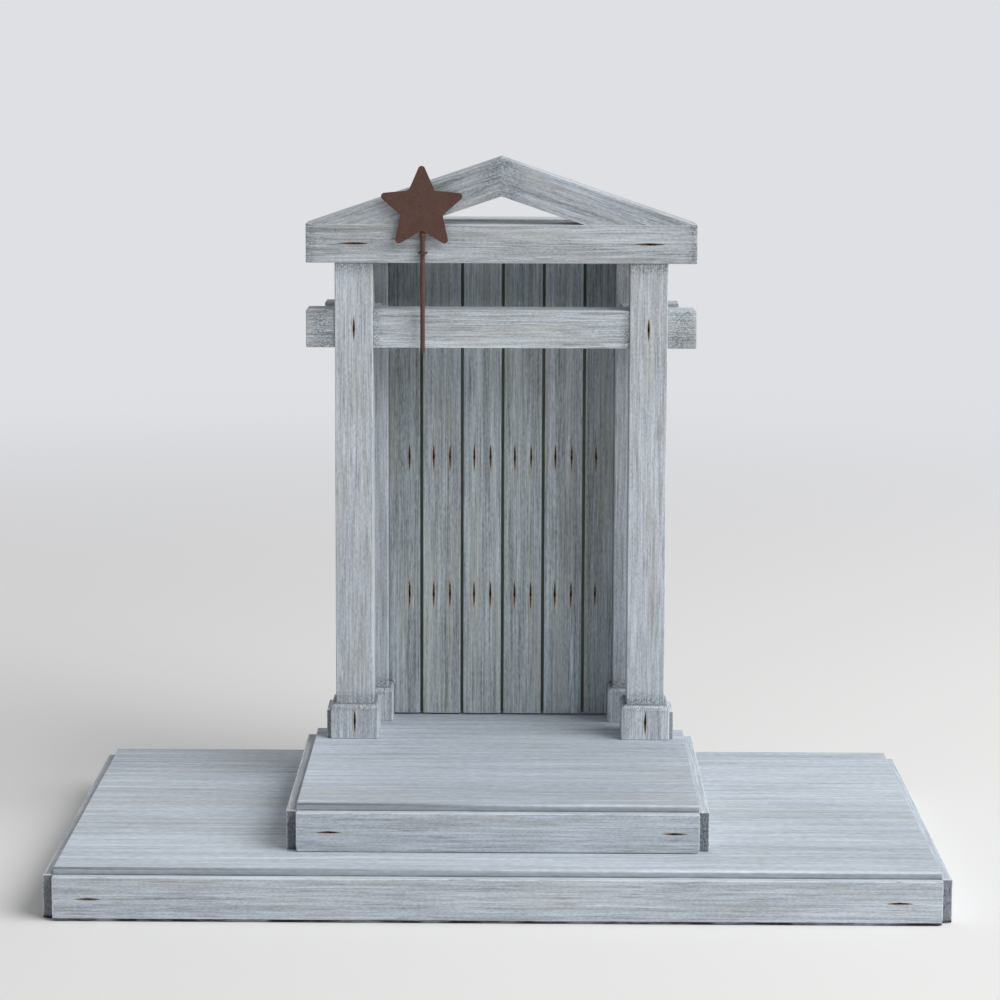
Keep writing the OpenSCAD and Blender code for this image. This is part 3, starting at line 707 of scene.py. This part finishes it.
# Darker flecks round the joints: axis, place and reach.
STUB_MIDDLE, STUB_REACH = POST_OUT + 10 * MM, 16 * MM
JOINT_FLECKS = {
    "front_beam": [
        ("X", side * x, reach) for side in (-1, 1)
        for x, reach in ((POST_IN, 9 * MM), (STUB_MIDDLE, STUB_REACH))
    ],
    "rear_left_stub": [("X", -STUB_MIDDLE, STUB_REACH)],
    "rear_right_stub": [("X", STUB_MIDDLE, STUB_REACH)],
    "pediment_chord": [("X", -HALF_CHORD, 10 * MM), ("X", HALF_CHORD, 10 * MM)],
    "left_rafter": [("X", 0.0, 24 * MM)],
    "right_rafter": [("X", 0.0, 24 * MM)],
}
for corner in CORNERS:
    JOINT_FLECKS[f"{corner}_foot"] = [("Z", FOOT_TOP, 7 * MM)]
    JOINT_FLECKS[f"{corner}_post"] = [("Z", FOOT_TOP, 12 * MM), ("Z", CHORD_BOTTOM, 14 * MM)]

# Worn slits in front faces: x, z, half the length, and whether the slit is upright.
SLIT_HALF, CHORD_SLIT_HALF, WALL_SLIT_HALF = mm(9.25, 12, 11.5)
LOWER_NAILS, UPPER_NAILS, CHORD_NAILS = mm(-275.5, 270.5), mm(-116.5, 121.5), mm(-108.7, 108.7)
BEAM_MIDDLE = middle_of("front_beam").z
WALL_NAIL_ROWS = (*mm(163.2, 269.95), BEAM_MIDDLE)
PLANK_PITCH, GAP_SHIFT, NAIL_IN = mm(31.1, 1.0, 9.3)
WALL_GAPS = range(-2, 3)


def lying_slits(name, places, half):
    return [(x, middle_of(name).z, half, False) for x in places]


SLITS = {
    "lower_front_board": lying_slits("lower_front_board", LOWER_NAILS, SLIT_HALF),
    "upper_front_board": lying_slits("upper_front_board", UPPER_NAILS, SLIT_HALF),
    "pediment_chord": lying_slits("pediment_chord", CHORD_NAILS, CHORD_SLIT_HALF),
}
for corner in CORNERS:
    foot = middle_of(f"{corner}_foot")
    SLITS[f"{corner}_foot"] = [(foot.x, foot.z, SLIT_HALF, True)]
for post in ("front_left_post", "front_right_post"):
    SLITS[post] = [(middle_of(post).x, BEAM_MIDDLE, SLIT_HALF, True)]
for plank in range(1, len(PLANK_TONES_AND_SHADE) + 1):
    SLITS[f"plank_{plank}"] = [
        (GAP_SHIFT + PLANK_PITCH * gap + side * NAIL_IN, row, WALL_SLIT_HALF, True)
        for gap, side in ((plank - 4, 1), (plank - 3, -1))
        if gap in WALL_GAPS
        for row in WALL_NAIL_ROWS
    ]


def give(names, material):
    for name in names:
        for slot in nodes[name].material_slots:
            slot.material = material


def dress_nodes():
    for seed, (name, (axis, look)) in enumerate(PAINTED.items(), 1):
        low, high = extent(name)
        slits = [((x, low.y, z), half, upright) for x, z, half, upright in SLITS.get(name, ())]
        slope, shade_bands, fleck_joints = SLOPES.get(name, 0.0), SHADE_BANDS.get(name, ()), JOINT_FLECKS.get(name, ())
        material = paint_material(
            name, corners_of(name), axis, slope, seed, slits, shade_bands, fleck_joints, **look
        )
        give([name], material)
        rounded = [((low if side < 0 else high).x, low.z) for side in ROUNDED_ENDS.get(name, ())]
        round_arrises(nodes[name], slits, SEAMS.get(name, ()), rounded)
    give(NAILS, NAIL)
    give(BEARERS, BARE_WOOD)
    give(["back_panel"], DARK_PANEL)
    give(RUSTED, RUST)
    round_arrises(nodes["star"], radius=STAR_ARRIS)


# ---------------------------------------------------------------- studio

BACKDROP = linear(223, 224, 228)
FLOOR = linear(229, 228, 227)
FLOOR_HALF, FLOOR_FADE = 8.0, (0.5, 2.6)
FLOOR_ROUGHNESS, FLOOR_SPECULAR = 0.7, 0.1
FILL_COLOUR = (0.97, 0.985, 1.0, 1)
FILL_LEVEL, FILL_ABOVE = 0.07, 0.43
KEY_AZIMUTH, KEY_ELEVATION, KEY_DISTANCE, KEY_SIZE, KEY_POWER = 68, 42, 4.5, 4.2, 230


def shown_as_backdrop(t):
    """1 for the rays that show the background: the camera's, reflected ones and those through glass."""
    paths = t.add("ShaderNodeLightPath").outputs
    return t.most(paths["Is Camera Ray"], paths["Is Glossy Ray"], paths["Is Transmission Ray"])


def make_floor():
    """A plain floor that fades to the backdrop's colour far from the stable."""
    mesh = bpy.data.meshes.new("floor")
    h = FLOOR_HALF
    mesh.from_pydata([(-h, -h, 0), (h, -h, 0), (h, h, 0), (-h, h, 0)], [], [(0, 1, 2, 3)])
    floor = bpy.data.objects.new("floor", mesh)
    bpy.context.scene.collection.objects.link(floor)
    material, t = new_material("floor")
    shader = t.add("ShaderNodeBsdfPrincipled")
    shader.inputs["Base Color"].default_value = FLOOR
    shader.inputs["Roughness"].default_value = FLOOR_ROUGHNESS
    shader.inputs["Specular IOR Level"].default_value = FLOOR_SPECULAR
    far = t.vector("LENGTH", t.add("ShaderNodeTexCoord").outputs["Object"])
    glow = t.add("ShaderNodeEmission")
    glow.inputs["Color"].default_value = BACKDROP
    either = t.add("ShaderNodeMixShader")
    t.put(either.inputs[0], t.product(t.step(far, *FLOOR_FADE), shown_as_backdrop(t)))
    t.put(either.inputs[1], shader.outputs[0])
    t.put(either.inputs[2], glow.outputs[0])
    t.put(t.add("ShaderNodeOutputMaterial").inputs[0], either.outputs[0])
    mesh.materials.append(material)


def make_fill():
    """A soft fill from the world, brighter from above, behind a plain backdrop."""
    world = bpy.data.worlds.new("world")
    bpy.context.scene.world = world
    world.use_nodes = True
    world.node_tree.nodes.clear()
    t = Tree(world.node_tree)
    fill = t.add("ShaderNodeBackground")
    fill.inputs["Color"].default_value = FILL_COLOUR
    up = t.most(t.split(t.add("ShaderNodeTexCoord").outputs["Generated"])[2], 0.0)
    t.put(fill.inputs["Strength"], t.total(FILL_LEVEL, t.product(up, FILL_ABOVE)))
    backdrop = t.add("ShaderNodeBackground")
    backdrop.inputs["Color"].default_value = BACKDROP
    either = t.add("ShaderNodeMixShader")
    t.put(either.inputs[0], shown_as_backdrop(t))
    t.put(either.inputs[1], fill.outputs[0])
    t.put(either.inputs[2], backdrop.outputs[0])
    t.put(t.add("ShaderNodeOutputWorld").inputs[0], either.outputs[0])


def make_key():
    """One large soft lamp from the right."""
    data = bpy.data.lights.new("key", "AREA")
    data.shape, data.size, data.energy = "DISK", KEY_SIZE, KEY_POWER
    lamp = bpy.data.objects.new("key", data)
    a, e = math.radians(KEY_AZIMUTH), math.radians(KEY_ELEVATION)
    toward = Vector((math.sin(a) * math.cos(e), -math.cos(a) * math.cos(e), math.sin(e)))
    place = toward * KEY_DISTANCE
    lamp.location = place
    lamp.rotation_mode = "QUATERNION"
    lamp.rotation_quaternion = (-place).to_track_quat("-Z", "Y")
    bpy.context.scene.collection.objects.link(lamp)


bpy.context.scene.view_settings.view_transform = "Standard"
make_camera()
make_floor()
make_fill()
make_key()
dress_nodes()
